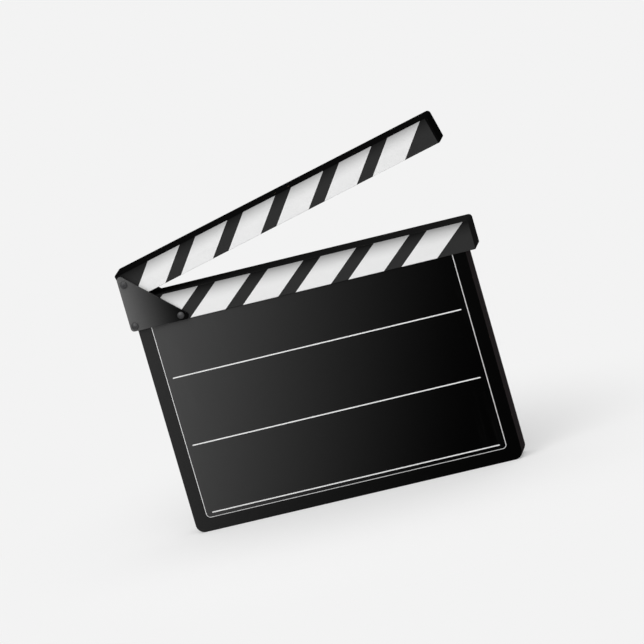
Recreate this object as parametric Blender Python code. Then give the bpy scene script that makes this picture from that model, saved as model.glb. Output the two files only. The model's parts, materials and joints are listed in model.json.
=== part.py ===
"""Clapperboard: a painted board with an engraved writing panel, a fixed and a hinged
clapstick with diagonal stripes, and a corner hinge of two steel plates on binding posts.

Metres, +Z up, the front faces -Y. The origin is on the board's bottom edge, under its middle.
"""
import math

import bmesh
import bpy
from mathutils import Matrix, Vector

# Fits
SEAT_GAP = 0.0003          # between faces that touch, and round a shank in its hole
OVERRUN = 0.002            # how far a cutter runs past the face it opens
ROUND_STEPS = 28           # facets of a round shank or head
ARC_STEPS = 6              # facets of a rounded corner

# Clapsticks
STICK_HEIGHT = 0.0254
STICK_THICKNESS = 0.024
HINGE_OVERHANG = 0.005     # past the board's side at the hinge
FREE_OVERHANG = 0.009      # past the board's side at the free end
STICK_CORNER = 0.003       # round corners of the front outline
FREE_CORNER = 0.001        # the corner under a free end is nearly sharp
STICK_EASE = 0.0007        # eased long edges

# Stripes painted on both sticks' fronts
STRIPE_COUNT = 6
STRIPE_PITCH = 0.04604
STRIPE_WIDTH = 0.0308      # along the stick
STRIPE_LEAN = 0.0296       # rightward shift from the bottom edge to the top edge
STRIPE_FIRST = 0.036       # first stripe's lower right corner, from the stick's left end

# Board
BOARD_WIDTH = 0.286
BOARD_HEIGHT = 0.1824
BOARD_THICKNESS = 0.022
BOARD_CORNER = 0.0075
BOARD_EASE = 0.0010

# Tongue on the board's top edge, which the lower stick is mortised onto
TONGUE_INSET = 0.006       # from the board's sides
TONGUE_THICKNESS = 0.009
TONGUE_HEIGHT = 0.014
TONGUE_ROOT = 0.004        # how deep it is rooted in the board

# Writing panel
PANEL_BORDER = 0.0115      # board left bare at the sides and the bottom
PANEL_THICKNESS = 0.003
PANEL_CORNER = 0.0038
PANEL_BEVEL = 0.0007       # its white core shows along this edge
RULE_INSET = 0.0055        # from the panel's sides to the rules' ends
RULE_WIDTH = 0.0012
RULE_DEPTH = 0.0005
RULE_FIRST = 0.0157        # lowest rule, above the board's bottom edge
RULE_SPACING = 0.060
RULE_COUNT = 3

# Corner hinge
OPENING_DEG = 13.4         # how far the upper stick stands open at rest
PIVOT_INSET = 0.005        # from the sticks' left end
PIVOT_RISE = 0.0151        # above the upper stick's underside
HEEL_SETBACK = 0.0005      # of the upper stick's heel from the lower stick's end
HEEL_CORNER = 0.002
PLATE_THICKNESS = 0.0015
PLATE_COVER = 0.011        # from a post to the plate's sharp corner beyond it
PLATE_CORNER = 0.003
PLATE_EASE = 0.0003
HEEL_POST_INSET = 0.0043   # heel post, from the sticks' left end
TOE_POST_INSET = 0.0446    # toe post, from the sticks' left end
LOW_POST_RISE = 0.0045     # heel and toe posts, above the lower stick's bottom

# Binding posts
BARREL_RADIUS = 0.0020
BARREL_SHORT = 0.0004      # the barrel ends this far inside the rear plate
HEAD_RADIUS = 0.0030
HEAD_RIM = 0.0005
HEAD_DOME = 0.0012
SCREW_RADIUS = 0.00125
SCREW_REACH = 0.011        # of the screw inside the barrel
SLOT_WIDTH = 0.0008
SLOT_DEPTH = 0.00135       # through the dome's whole width

# Pivot stack
BUSH_WALL = 0.0006
WASHER_RADIUS = 0.0040
WASHER_THICKNESS = 0.0008
SPRING_RADIUS = 0.0030
SPRING_THICKNESS = 0.0004
SPRING_RISE = 0.0005

# Screws that hold the lower stick on the tongue
BOARD_SCREW_COUNT = 4
BOARD_SCREW_LAST = 0.0250  # last screw, from the sticks' right end
BOARD_SCREW_LENGTH = 0.0145
BOARD_SCREW_RADIUS = 0.0015
BOARD_SCREW_HEAD = 0.0029
BOARD_SCREW_RIM = 0.0002
BOARD_SCREW_TIP = 0.0025
BOARD_SCREW_SINK = 0.0002  # below the stick's back
BOARD_SLOT_DEPTH = 0.0008

# Places that follow from the sizes
LEFT_END = -BOARD_WIDTH / 2 - HINGE_OVERHANG    # of the sticks
RIGHT_END = BOARD_WIDTH / 2 + FREE_OVERHANG
FRONT = -STICK_THICKNESS / 2
BACK = STICK_THICKNESS / 2
BOARD_FRONT = -BOARD_THICKNESS / 2
LOWER_BOTTOM = BOARD_HEIGHT + SEAT_GAP
LOWER_TOP = LOWER_BOTTOM + STICK_HEIGHT
UPPER_BOTTOM = LOWER_TOP + SEAT_GAP
PIVOT_X = LEFT_END + PIVOT_INSET
PIVOT_Z = UPPER_BOTTOM + PIVOT_RISE
PLATE_FACE = BACK + SEAT_GAP                   # inner faces of the hinge plates, from the middle
PLATE_OUTSIDE = PLATE_FACE + PLATE_THICKNESS
POST_HOLE = BARREL_RADIUS + SEAT_GAP
HEAD_SEAT = PLATE_OUTSIDE + SEAT_GAP           # underside of a post's head
BARREL_END = PLATE_OUTSIDE - BARREL_SHORT
UPPER_HALF = PLATE_FACE - 2 * SEAT_GAP - WASHER_THICKNESS
TONGUE_TOP = BOARD_HEIGHT + TONGUE_HEIGHT
TONGUE_MIDDLE = BOARD_HEIGHT + TONGUE_HEIGHT / 2
LOW_POST_Z = LOWER_BOTTOM + LOW_POST_RISE
HEEL_POST_X = LEFT_END + HEEL_POST_INSET
TOE_POST_X = LEFT_END + TOE_POST_INSET
PANEL_HALF = BOARD_WIDTH / 2 - PANEL_BORDER


def clear_scene():
    for old in list(bpy.data.objects):
        bpy.data.objects.remove(old, do_unlink=True)


def paint(name, colour, roughness, metallic=0.0):
    """A plain finish; colour is linear RGB."""
    finish = bpy.data.materials.new(name)
    finish.use_nodes = True
    shader = finish.node_tree.nodes["Principled BSDF"]
    shader.inputs["Base Color"].default_value = (*colour, 1.0)
    shader.inputs["Roughness"].default_value = roughness
    shader.inputs["Metallic"].default_value = metallic
    return finish


def add_object(name, bm, *finishes, smooth=False):
    """Puts a finished bmesh into the scene under its name."""
    bmesh.ops.recalc_face_normals(bm, faces=bm.faces)
    mesh = bpy.data.meshes.new(name)
    bm.to_mesh(mesh)
    bm.free()
    if smooth:
        mesh.shade_smooth()
        mesh.set_sharp_from_angle(angle=math.radians(35))
    for finish in finishes:
        mesh.materials.append(finish)
    part = bpy.data.objects.new(name, mesh)
    bpy.context.scene.collection.objects.link(part)
    return part


def rounded(corners):
    """Outline with round corners, from (x, z, radius) triples in counter-clockwise order."""
    outline = []
    for i, (x, z, radius) in enumerate(corners):
        here = Vector((x, z))
        if radius == 0:
            outline.append(here)
            continue
        back = (Vector(corners[i - 1][:2]) - here).normalized()
        ahead = (Vector(corners[(i + 1) % len(corners)][:2]) - here).normalized()
        half = back.angle(ahead) / 2
        centre = here + (back + ahead).normalized() * (radius / math.sin(half))
        start = here + back * (radius / math.tan(half)) - centre
        sweep = math.pi - 2 * half
        for step in range(ARC_STEPS + 1):
            turn = Matrix.Rotation(sweep * step / ARC_STEPS, 2)
            outline.append(centre + turn @ start)
    return outline


def prism(outline, front, back):
    """Bmesh of an (x, z) outline extruded from y = front to y = back."""
    bm = bmesh.new()
    ring = [bm.verts.new((p[0], front, p[1])) for p in outline]
    face = bm.faces.new(ring)
    swept = bmesh.ops.extrude_face_region(bm, geom=[face])["geom"]
    moved = [v for v in swept if isinstance(v, bmesh.types.BMVert)]
    bmesh.ops.translate(bm, verts=moved, vec=(0, back - front, 0))
    bmesh.ops.recalc_face_normals(bm, faces=bm.faces)
    return bm


def block(low, high):
    """Bmesh of a plain box between two corners."""
    outline = [(low[0], low[2]), (high[0], low[2]), (high[0], high[2]), (low[0], high[2])]
    return prism(outline, low[1], high[1])


def turned(profile, x, z, steps=ROUND_STEPS):
    """Bmesh of a (radius, y) profile turned about the line along Y through (x, z)."""
    bm = bmesh.new()
    closed = all(radius > 0 for radius, _ in profile)
    verts = [bm.verts.new((x + radius, y, z)) for radius, y in profile]
    pairs = list(zip(verts, verts[1:]))
    if closed:
        pairs.append((verts[-1], verts[0]))
    edges = [bm.edges.new(pair) for pair in pairs]
    bmesh.ops.spin(bm, geom=verts + edges, cent=(x, 0, z), axis=(0, 1, 0),
                   angle=2 * math.pi, steps=steps, use_merge=True)
    bmesh.ops.remove_doubles(bm, verts=bm.verts, dist=1e-6)
    return bm


def ease(bm, width, keep, steps=1):
    """Bevels the edges that keep(edge) picks."""
    picked = [edge for edge in bm.edges if keep(edge)]
    bmesh.ops.bevel(bm, geom=picked, offset=width, segments=steps, profile=0.5, affect="EDGES")


def lies_in_face(edge, y, margin=1e-6):
    """True for an edge of the front or back outline at that y."""
    return all(abs(vert.co.y - y) < margin for vert in edge.verts)


def cut(target, bm, operation="DIFFERENCE"):
    """Cuts a bmesh out of an object, or joins it on, with a Boolean."""
    tool = add_object(f"{target.name}_tool_{len(target.modifiers) + 1}", bm)
    tool.hide_render = True
    tool.display_type = "WIRE"
    boolean = target.modifiers.new(tool.name, "BOOLEAN")
    boolean.operation = operation
    boolean.object = tool
    return tool


def bore(target, radius, x, z, front, back):
    """Round hole along Y."""
    return cut(target, turned([(0, front), (radius, front), (radius, back), (0, back)], x, z))


def stripe_lines(left):
    """(x at the bottom edge, true where white begins) for each edge of the stripes."""
    lines = []
    for k in range(STRIPE_COUNT):
        right = left + STRIPE_FIRST + k * STRIPE_PITCH
        lines.append((right - STRIPE_WIDTH, True))
        lines.append((right, False))
    return lines


def paint_stripes(bm, left, bottom, front):
    """Splits a stick along its stripe edges and gives the white faces the second finish."""
    lean = Vector((STRIPE_LEAN, 0, STICK_HEIGHT)).normalized()
    across = Vector((lean.z, 0, -lean.x))
    lines = stripe_lines(left)
    for x, _ in lines:
        bmesh.ops.bisect_plane(bm, geom=bm.verts[:] + bm.edges[:] + bm.faces[:], dist=1e-7,
                               plane_co=(x, 0, bottom), plane_no=across)
    for face in bm.faces:
        middle = face.calc_center_median()
        if middle.y > front + STICK_EASE / 4 or abs(face.normal.y) < 0.99:
            continue
        foot = middle.x - (middle.z - bottom) * STRIPE_LEAN / STICK_HEIGHT
        started = sum(1 for x, _ in lines if x < foot)
        face.material_index = started % 2


def stick_blank(left, right, bottom, half, corners):
    """Striped stick with round corners and eased edges; corners are four radii from lower left."""
    top = bottom + STICK_HEIGHT
    outline = rounded([(left, bottom, corners[0]), (right, bottom, corners[1]),
                       (right, top, corners[2]), (left, top, corners[3])])
    bm = prism(outline, -half, half)
    ease(bm, STICK_EASE, lambda edge: lies_in_face(edge, -half) or lies_in_face(edge, half))
    return bm


def post_barrel(name, x, z, finish):
    """Barrel of a binding post: a domed head in front, a hollow shank through to the rear plate."""
    dome_radius = (HEAD_RADIUS ** 2 + HEAD_DOME ** 2) / (2 * HEAD_DOME)
    face = -HEAD_SEAT - HEAD_RIM
    profile = [(0, face - HEAD_DOME)]
    for step in range(1, ARC_STEPS):
        radius = HEAD_RADIUS * step / ARC_STEPS
        drop = dome_radius - math.sqrt(dome_radius ** 2 - radius ** 2)
        profile.append((radius, face - HEAD_DOME + drop))
    hollow = SCREW_RADIUS + SEAT_GAP
    floor = HEAD_SEAT - SCREW_REACH - SEAT_GAP
    profile += [(HEAD_RADIUS, face), (HEAD_RADIUS, -HEAD_SEAT), (BARREL_RADIUS, -HEAD_SEAT),
                (BARREL_RADIUS, BARREL_END), (hollow, BARREL_END), (hollow, floor), (0, floor)]
    return add_object(name, turned(profile, x, z), finish, smooth=True)


def post_screw(name, x, z, seat, finish):
    """Screw of a binding post: a low domed head with a slot behind the rear plate."""
    face = seat + HEAD_RIM
    dome_radius = (HEAD_RADIUS ** 2 + HEAD_DOME ** 2) / (2 * HEAD_DOME)
    profile = [(0, face + HEAD_DOME)]
    for step in range(1, ARC_STEPS):
        radius = HEAD_RADIUS * step / ARC_STEPS
        drop = dome_radius - math.sqrt(dome_radius ** 2 - radius ** 2)
        profile.append((radius, face + HEAD_DOME - drop))
    end = HEAD_SEAT - SCREW_REACH
    profile += [(HEAD_RADIUS, face), (HEAD_RADIUS, seat), (SCREW_RADIUS, seat),
                (SCREW_RADIUS, end), (0, end)]
    screw = add_object(name, turned(profile, x, z), finish, smooth=True)
    crown = face + HEAD_DOME
    reach = HEAD_RADIUS + OVERRUN
    cut(screw, block((x - reach, crown - SLOT_DEPTH, z - SLOT_WIDTH / 2),
                     (x + reach, crown + OVERRUN, z + SLOT_WIDTH / 2)))
    return screw


def hinge_plate(name, near, far, finish):
    """Right triangle of sheet steel with round corners, a hole for each post."""
    right = TOE_POST_X + PLATE_COVER
    top = PIVOT_Z + PLATE_COVER
    outline = rounded([(LEFT_END, LOWER_BOTTOM, PLATE_CORNER), (right, LOWER_BOTTOM, PLATE_CORNER),
                       (LEFT_END, top, PLATE_CORNER)])
    front, back = sorted((near, far))
    bm = prism(outline, front, back)
    ease(bm, PLATE_EASE, lambda edge: lies_in_face(edge, far))
    plate = add_object(name, bm, finish)
    for x, z in ((PIVOT_X, PIVOT_Z), (HEEL_POST_X, LOW_POST_Z), (TOE_POST_X, LOW_POST_Z)):
        bore(plate, POST_HOLE, x, z, front - OVERRUN, back + OVERRUN)
    return plate


def ring(name, inner, outer, front, back, finish):
    """Plain washer or sleeve on the pivot's axis."""
    profile = [(inner, front), (outer, front), (outer, back), (inner, back)]
    return add_object(name, turned(profile, PIVOT_X, PIVOT_Z), finish, smooth=True)


def board_screw_places():
    """x of each screw, evenly from the toe post to the right end."""
    last = RIGHT_END - BOARD_SCREW_LAST
    step = (last - TOE_POST_X) / BOARD_SCREW_COUNT
    return [TOE_POST_X + step * (k + 1) for k in range(BOARD_SCREW_COUNT)]


def countersunk(grow):
    """(radius, y) profile of a countersunk screw, made larger all round by grow for its hole."""
    top = BACK - BOARD_SCREW_SINK
    cone = BOARD_SCREW_HEAD - BOARD_SCREW_RADIUS
    tip = top - BOARD_SCREW_LENGTH - grow
    neck = top - BOARD_SCREW_RIM - cone
    mouth = [(0, top), (BOARD_SCREW_HEAD, top)]
    if grow:
        mouth = [(0, BACK + OVERRUN), (BOARD_SCREW_HEAD + grow, BACK + OVERRUN)]
    return mouth + [(BOARD_SCREW_HEAD + grow, top - BOARD_SCREW_RIM),
                    (BOARD_SCREW_RADIUS + grow, neck),
                    (BOARD_SCREW_RADIUS + grow, tip + BOARD_SCREW_TIP), (0, tip)]


def make_board(finish):
    half = BOARD_WIDTH / 2
    outline = rounded([(-half, 0, BOARD_CORNER), (half, 0, BOARD_CORNER),
                       (half, BOARD_HEIGHT, 0), (-half, BOARD_HEIGHT, 0)])
    bm = prism(outline, BOARD_FRONT, -BOARD_FRONT)

    def outer(edge):
        in_face = lies_in_face(edge, BOARD_FRONT) or lies_in_face(edge, -BOARD_FRONT)
        return in_face and min(vert.co.z for vert in edge.verts) < BOARD_HEIGHT - 1e-6

    ease(bm, BOARD_EASE, outer, steps=2)
    board = add_object("slate_board", bm, finish)

    floor = BOARD_FRONT + PANEL_THICKNESS + SEAT_GAP
    wide = PANEL_HALF + SEAT_GAP
    low = PANEL_BORDER - SEAT_GAP
    corner = PANEL_CORNER + SEAT_GAP
    recess = rounded([(-wide, low, corner), (wide, low, corner),
                      (wide, BOARD_HEIGHT + OVERRUN, 0), (-wide, BOARD_HEIGHT + OVERRUN, 0)])
    cut(board, prism(recess, BOARD_FRONT - OVERRUN, floor))

    side = half - TONGUE_INSET
    cut(board, block((-side, -TONGUE_THICKNESS / 2, BOARD_HEIGHT - TONGUE_ROOT),
                     (side, TONGUE_THICKNESS / 2, TONGUE_TOP)), "UNION")
    reach = TONGUE_THICKNESS / 2 + OVERRUN
    bore(board, POST_HOLE, TOE_POST_X, LOW_POST_Z, -reach, reach)
    for x in board_screw_places():
        cut(board, turned(countersunk(SEAT_GAP), x, TONGUE_MIDDLE))
    return board


def make_panel(finish, core):
    outline = rounded([(-PANEL_HALF, PANEL_BORDER, PANEL_CORNER), (PANEL_HALF, PANEL_BORDER, PANEL_CORNER),
                       (PANEL_HALF, BOARD_HEIGHT, 0), (-PANEL_HALF, BOARD_HEIGHT, 0)])
    bm = prism(outline, BOARD_FRONT, BOARD_FRONT + PANEL_THICKNESS)
    ease(bm, PANEL_BEVEL, lambda edge: lies_in_face(edge, BOARD_FRONT)
         and min(vert.co.z for vert in edge.verts) < BOARD_HEIGHT - 1e-6)
    for face in bm.faces:
        slanted = 0.1 < abs(face.normal.y) < 0.9
        face.material_index = 1 if slanted else 0
    panel = add_object("writing_panel", bm, finish, core)
    end = PANEL_HALF - RULE_INSET
    half = RULE_WIDTH / 2
    for k in range(RULE_COUNT):
        z = RULE_FIRST + k * RULE_SPACING
        groove = rounded([(-end, z - half, 0.98 * half), (end, z - half, 0.98 * half),
                          (end, z + half, 0.98 * half), (-end, z + half, 0.98 * half)])
        tool = cut(panel, prism(groove, BOARD_FRONT - OVERRUN, BOARD_FRONT + RULE_DEPTH))
        tool.data.materials.append(core)
    return panel


def make_lower_stick(black, white):
    radius = STICK_CORNER
    bm = stick_blank(LEFT_END, RIGHT_END, LOWER_BOTTOM, BACK, [radius, FREE_CORNER, radius, radius])
    paint_stripes(bm, LEFT_END, LOWER_BOTTOM, FRONT)
    stick = add_object("lower_clapstick", bm, black, white)

    side = BOARD_WIDTH / 2 - TONGUE_INSET + SEAT_GAP
    wall = TONGUE_THICKNESS / 2 + SEAT_GAP
    cut(stick, block((-side, -wall, LOWER_BOTTOM - OVERRUN), (side, wall, TONGUE_TOP + SEAT_GAP)))
    for x in (HEEL_POST_X, TOE_POST_X):
        bore(stick, POST_HOLE, x, LOW_POST_Z, FRONT - OVERRUN, BACK + OVERRUN)
    for x in board_screw_places():
        cut(stick, turned(countersunk(SEAT_GAP), x, TONGUE_MIDDLE))
    return stick


def make_upper_stick(black, white):
    """Modelled closed, on top of the lower stick; its heel is rounded about the pivot below."""
    left = LEFT_END + HEEL_SETBACK
    bm = stick_blank(left, RIGHT_END, UPPER_BOTTOM, UPPER_HALF,
                     [0, FREE_CORNER, STICK_CORNER, HEEL_CORNER])
    paint_stripes(bm, LEFT_END, UPPER_BOTTOM, -UPPER_HALF)
    stick = add_object("upper_clapstick", bm, black, white)

    sweep = math.asin((PIVOT_X - left + OVERRUN) / PIVOT_RISE)
    relief = [(PIVOT_X, UPPER_BOTTOM - OVERRUN)]
    for step in range(ARC_STEPS + 1):
        angle = -math.pi / 2 - sweep * step / ARC_STEPS
        relief.append((PIVOT_X + PIVOT_RISE * math.cos(angle), PIVOT_Z + PIVOT_RISE * math.sin(angle)))
    relief.append((relief[-1][0], UPPER_BOTTOM - OVERRUN))
    cut(stick, prism(relief, -UPPER_HALF - OVERRUN, UPPER_HALF + OVERRUN))
    hole = POST_HOLE + BUSH_WALL + SEAT_GAP
    bore(stick, hole, PIVOT_X, PIVOT_Z, -UPPER_HALF - OVERRUN, UPPER_HALF + OVERRUN)
    return stick


def swing_open(parts):
    """Hangs the clapper's parts from an empty on the pivot and opens them."""
    pivot = bpy.data.objects.new("clapper_pivot", None)
    bpy.context.scene.collection.objects.link(pivot)
    pivot.location = (PIVOT_X, 0, PIVOT_Z)
    for part in parts:
        cutters = [modifier.object for modifier in part.modifiers if modifier.type == "BOOLEAN"]
        for piece in [part] + cutters:
            piece.data.transform(Matrix.Translation((-PIVOT_X, 0, -PIVOT_Z)))
            piece.parent = pivot
    pivot.rotation_euler = (0, -math.radians(OPENING_DEG), 0)


def build():
    clear_scene()
    black = paint("black_paint", (0.026, 0.026, 0.027), 0.45)
    white = paint("white_paint", (0.78, 0.78, 0.78), 0.5)
    board_black = paint("board_black", (0.018, 0.017, 0.018), 0.5)
    laminate = paint("panel_black", (0.03, 0.03, 0.03), 0.35)
    core = paint("panel_core", (0.80, 0.80, 0.80), 0.5)
    steel = paint("blacked_steel", (0.05, 0.05, 0.05), 0.35, 1.0)
    bright = paint("post_steel", (0.22, 0.22, 0.23), 0.3, 1.0)
    zinc = paint("screw_steel", (0.45, 0.45, 0.46), 0.35, 1.0)
    brass = paint("bush_brass", (0.60, 0.42, 0.16), 0.35, 1.0)
    fibre = paint("washer_fibre", (0.16, 0.05, 0.03), 0.7)

    make_board(board_black)
    make_panel(laminate, core)
    make_lower_stick(black, white)
    upper = make_upper_stick(black, white)

    hinge_plate("front_hinge_plate", -PLATE_FACE, -PLATE_OUTSIDE, steel)
    hinge_plate("rear_hinge_plate", PLATE_FACE, PLATE_OUTSIDE, steel)

    spring_seat = PLATE_OUTSIDE + SEAT_GAP
    pivot_seat = spring_seat + SPRING_THICKNESS + SPRING_RISE + SEAT_GAP
    for name, x, z, seat in (("pivot", PIVOT_X, PIVOT_Z, pivot_seat),
                             ("heel", HEEL_POST_X, LOW_POST_Z, HEAD_SEAT),
                             ("toe", TOE_POST_X, LOW_POST_Z, HEAD_SEAT)):
        post_barrel(f"{name}_barrel", x, z, bright)
        post_screw(f"{name}_screw", x, z, seat, zinc)

    inner = POST_HOLE
    bush = ring("pivot_bush", inner, inner + BUSH_WALL, -UPPER_HALF, UPPER_HALF, brass)
    washer_near = UPPER_HALF + SEAT_GAP
    washer_far = washer_near + WASHER_THICKNESS
    front_washer = ring("front_friction_washer", inner, WASHER_RADIUS, -washer_far, -washer_near, fibre)
    rear_washer = ring("rear_friction_washer", inner, WASHER_RADIUS, washer_near, washer_far, fibre)

    hole = SCREW_RADIUS + SEAT_GAP
    cone = [(SPRING_RADIUS, spring_seat), (SPRING_RADIUS, spring_seat + SPRING_THICKNESS),
            (hole, spring_seat + SPRING_RISE + SPRING_THICKNESS), (hole, spring_seat + SPRING_RISE)]
    add_object("pivot_spring_washer", turned(cone, PIVOT_X, PIVOT_Z), zinc, smooth=True)

    for k, x in enumerate(board_screw_places()):
        screw = add_object(f"board_screw_{k + 1}", turned(countersunk(0), x, TONGUE_MIDDLE), zinc,
                           smooth=True)
        top = BACK - BOARD_SCREW_SINK
        reach = BOARD_SCREW_HEAD + OVERRUN
        cut(screw, block((x - reach, top - BOARD_SLOT_DEPTH, TONGUE_MIDDLE - SLOT_WIDTH / 2),
                         (x + reach, top + OVERRUN, TONGUE_MIDDLE + SLOT_WIDTH / 2)))

    swing_open([upper, bush, front_washer, rear_washer])


build()
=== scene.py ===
import json
import math
import bmesh
import bpy
from mathutils import Matrix, Vector


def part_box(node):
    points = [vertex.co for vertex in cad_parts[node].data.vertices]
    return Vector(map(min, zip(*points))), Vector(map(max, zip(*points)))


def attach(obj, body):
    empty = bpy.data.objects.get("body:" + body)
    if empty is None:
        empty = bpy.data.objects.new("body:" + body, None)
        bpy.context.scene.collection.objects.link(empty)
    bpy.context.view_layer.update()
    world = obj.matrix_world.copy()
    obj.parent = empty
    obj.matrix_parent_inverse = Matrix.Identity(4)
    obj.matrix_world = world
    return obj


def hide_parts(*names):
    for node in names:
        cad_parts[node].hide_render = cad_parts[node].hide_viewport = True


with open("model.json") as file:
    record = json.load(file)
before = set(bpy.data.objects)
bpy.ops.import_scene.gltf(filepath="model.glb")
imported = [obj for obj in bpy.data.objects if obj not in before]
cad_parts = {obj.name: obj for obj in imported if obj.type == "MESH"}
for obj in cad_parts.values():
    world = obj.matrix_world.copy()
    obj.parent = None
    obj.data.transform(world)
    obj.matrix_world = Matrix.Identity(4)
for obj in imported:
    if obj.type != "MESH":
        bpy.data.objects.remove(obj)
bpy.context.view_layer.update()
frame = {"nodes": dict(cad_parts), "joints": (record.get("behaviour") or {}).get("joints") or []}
scene = bpy.context.scene
hinge = frame["joints"][0]
pivot = Vector(hinge["pos_m"])
opening = math.radians(-hinge["range_deg"][0])  # how far the upper stick stands open at rest
print("frame:", len(frame["nodes"]), "nodes, stick open by", round(math.degrees(opening), 1), "degrees")

overrun = 0.002  # how far a cutter goes past the faces that it opens
weldGap = 1e-7   # points closer than this are one


# small tools for colours and nodes

def inLinear(red, green, blue):
    # a screen colour, 0 to 255 for each channel, in the linear values that shaders take
    channels = []
    for value in (red, green, blue):
        share = value / 255
        channels.append(share / 12.92 if share <= 0.04045 else ((share + 0.055) / 1.055) ** 2.4)
    return (*channels, 1.0)


def scaled(tint, share):
    # the same screen colour, darker or brighter
    return inLinear(*[min(255, value * share) for value in tint])


def put(tree, kind, inputs=None, **settings):
    node = tree.nodes.new("ShaderNode" + kind)
    for name, value in settings.items():
        setattr(node, name, value)
    for name, value in (inputs or {}).items():
        if isinstance(value, bpy.types.NodeSocket):
            tree.links.new(value, node.inputs[name])
        else:
            node.inputs[name].default_value = value
    return node


def calc(tree, operation, first, second):
    return put(tree, "Math", {0: first, 1: second}, operation=operation).outputs[0]


def blendColours(tree, share, first, second):
    # a Mix node takes its colours on inputs 6 and 7 and gives one on output 2
    return put(tree, "Mix", {0: share, 6: first, 7: second}, data_type="RGBA").outputs[2]


def blendHeights(tree, first, firstShare, second, secondShare):
    parts = calc(tree, "MULTIPLY", first, firstShare), calc(tree, "MULTIPLY", second, secondShare)
    return calc(tree, "ADD", *parts)


def rise(tree, value, start, end):
    # 0 before start, 1 after end, eased between them
    inputs = {"Value": value, "From Min": start, "From Max": end}
    return put(tree, "MapRange", inputs, interpolation_type="SMOOTHSTEP").outputs["Result"]


def spread(tree, value, low, high, start=0.0, end=1.0):
    # low before start, high after end, straight between them
    inputs = {"Value": value, "From Min": start, "From Max": end, "To Min": low, "To Max": high}
    return put(tree, "MapRange", inputs).outputs["Result"]


def ownPlace(tree):
    # metres from the object's own origin, so that a finish stays on its piece
    return put(tree, "TexCoord").outputs["Object"]


def noise(tree, place, **inputs):
    return put(tree, "TexNoise", {"Vector": place, **inputs}).outputs["Fac"]


def newGroup(name, takes, gives):
    group = bpy.data.node_groups.new(name, "ShaderNodeTree")
    for label, value in takes.items():
        socket = group.interface.new_socket(name=label, in_out="INPUT", socket_type="NodeSocketFloat")
        socket.default_value = value
    for label in gives:
        group.interface.new_socket(name=label, in_out="OUTPUT", socket_type="NodeSocketFloat")
    return group, group.nodes.new("NodeGroupInput").outputs, group.nodes.new("NodeGroupOutput").inputs


def useGroup(tree, group, values):
    node = tree.nodes.new("ShaderNodeGroup")
    node.node_tree = group
    for name, value in values.items():
        node.inputs[name].default_value = value
    return node.outputs


# effects that several finishes share

def makeGrain():
    # pores and slow waves of wood, drawn out along the piece
    group, takes, gives = newGroup("woodGrain", {"Length": 0.06, "Fineness": 1400.0}, ["Height", "Tone"])
    axes = put(group, "SeparateXYZ", {0: ownPlace(group)}).outputs
    along = calc(group, "MULTIPLY", axes["X"], takes["Length"])
    place = put(group, "CombineXYZ", {"X": along, "Y": axes["Y"], "Z": axes["Z"]}).outputs[0]
    waves = noise(group, place, Scale=170.0, Detail=3.0, Distortion=0.6)
    specks = noise(group, place, Scale=takes["Fineness"], Detail=4.0, Roughness=0.7)
    pores = rise(group, specks, start=0.34, end=0.5)
    waveShare, poreShare = 0.5, 0.5
    group.links.new(blendHeights(group, waves, waveShare, pores, poreShare), gives["Height"])
    group.links.new(waves, gives["Tone"])
    return group


def makeSkin():
    # soft orange peel of a sprayed coat, with a few dust nibs caught in it
    group, takes, gives = newGroup("sprayedSkin", {"Grain": 900.0, "Nibs": 140.0}, ["Height"])
    place = ownPlace(group)
    peel = noise(group, place, Scale=takes["Grain"], Detail=2.0, Roughness=0.4)
    cells = put(group, "TexVoronoi", {"Vector": place, "Scale": takes["Nibs"]}).outputs["Distance"]
    nibs = calc(group, "SUBTRACT", 1.0, rise(group, cells, start=0.03, end=0.12))
    peelShare, nibShare = 1.0, 0.4
    group.links.new(blendHeights(group, peel, peelShare, nibs, nibShare), gives["Height"])
    return group


def makeHandling():
    # broad patches that hands have dulled or polished, and faint short rubs inside them
    group, takes, gives = newGroup("handling", {"Patch": 14.0, "Rubs": 90.0}, ["Patches", "Rubs"])
    place = ownPlace(group)
    patches = noise(group, place, Scale=takes["Patch"], Detail=4.0, Roughness=0.55)
    turn, pace = 0.6, 0.06  # of the noise; the low pace along z draws the rubs out that way
    drawn = {"Vector": place, "Rotation": (0.0, turn, 0.0), "Scale": (1.0, 1.0, pace)}
    strokes = put(group, "Mapping", drawn).outputs[0]
    marks = noise(group, strokes, Scale=takes["Rubs"], Detail=5.0, Roughness=0.75)
    rubs = rise(group, marks, start=0.54, end=0.74)
    inside = rise(group, patches, start=0.45, end=0.65)
    group.links.new(rise(group, patches, start=0.3, end=0.7), gives["Patches"])
    group.links.new(calc(group, "MULTIPLY", rubs, inside), gives["Rubs"])
    return group


def makeRubbedEdge():
    # each piece stores how near a point is to its rounded edges; noise breaks that up into rubbed spots
    group, takes, gives = newGroup("rubbedEdge", {"Amount": 0.5, "Spots": 220.0}, ["Mask"])
    lift, softness = 0.35, 0.12  # of the noise, and of the borders of the rubbed spots
    near = put(group, "Attribute", attribute_name="edge").outputs["Fac"]
    spots = noise(group, ownPlace(group), Scale=takes["Spots"], Detail=6.0, Roughness=0.7)
    broken = calc(group, "MULTIPLY", near, calc(group, "ADD", spots, lift))
    level = calc(group, "SUBTRACT", 1.0, takes["Amount"])
    mask = rise(group, broken, start=level, end=calc(group, "ADD", level, softness))
    group.links.new(mask, gives["Mask"])
    return group


def makeSheenFade():
    # painted sheen: 1 at Start falling to 0 at End, in metres across the piece, shifted by Lean for each
    # metre of height
    group, takes, gives = newGroup("sheenFade", {"Start": -0.14, "End": 0.14, "Lean": 0.28}, ["Share"])
    axes = put(group, "SeparateXYZ", {0: ownPlace(group)}).outputs
    across = calc(group, "SUBTRACT", axes["X"], calc(group, "MULTIPLY", axes["Z"], takes["Lean"]))
    share = spread(group, across, 1.0, 0.0, start=takes["Start"], end=takes["End"])
    group.links.new(share, gives["Share"])
    return group


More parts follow.
